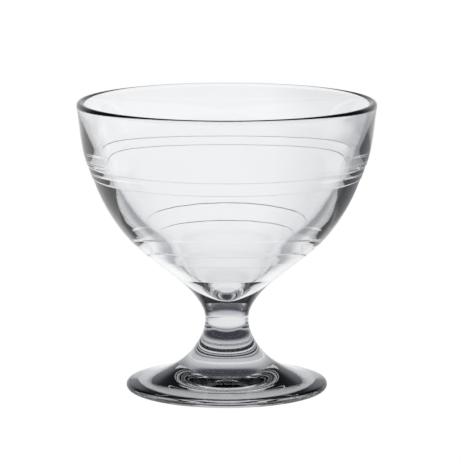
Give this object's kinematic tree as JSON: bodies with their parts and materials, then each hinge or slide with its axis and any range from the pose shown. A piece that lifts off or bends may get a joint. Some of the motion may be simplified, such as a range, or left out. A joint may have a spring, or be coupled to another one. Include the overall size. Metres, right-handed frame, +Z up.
{
  "type": "footed dessert glass",
  "caption": "Clear glass dessert cup: deep round bowl with pairs of fine ring lines, short waisted stem and domed foot with a hollow underside.",
  "frame": {"origin": "centre of the foot, on the surface that the glass stands on", "axes": "+Z up along the axis that the whole glass is turned about"},
  "size_m": [0.103, 0.103, 0.1],
  "materials": {
    "glass": "clear, smooth, fire-polished rim"
  },
  "bodies": {
    "root": {"bowl": "glass", "stem": "glass", "foot": "glass"}
  },
  "joints": []
}
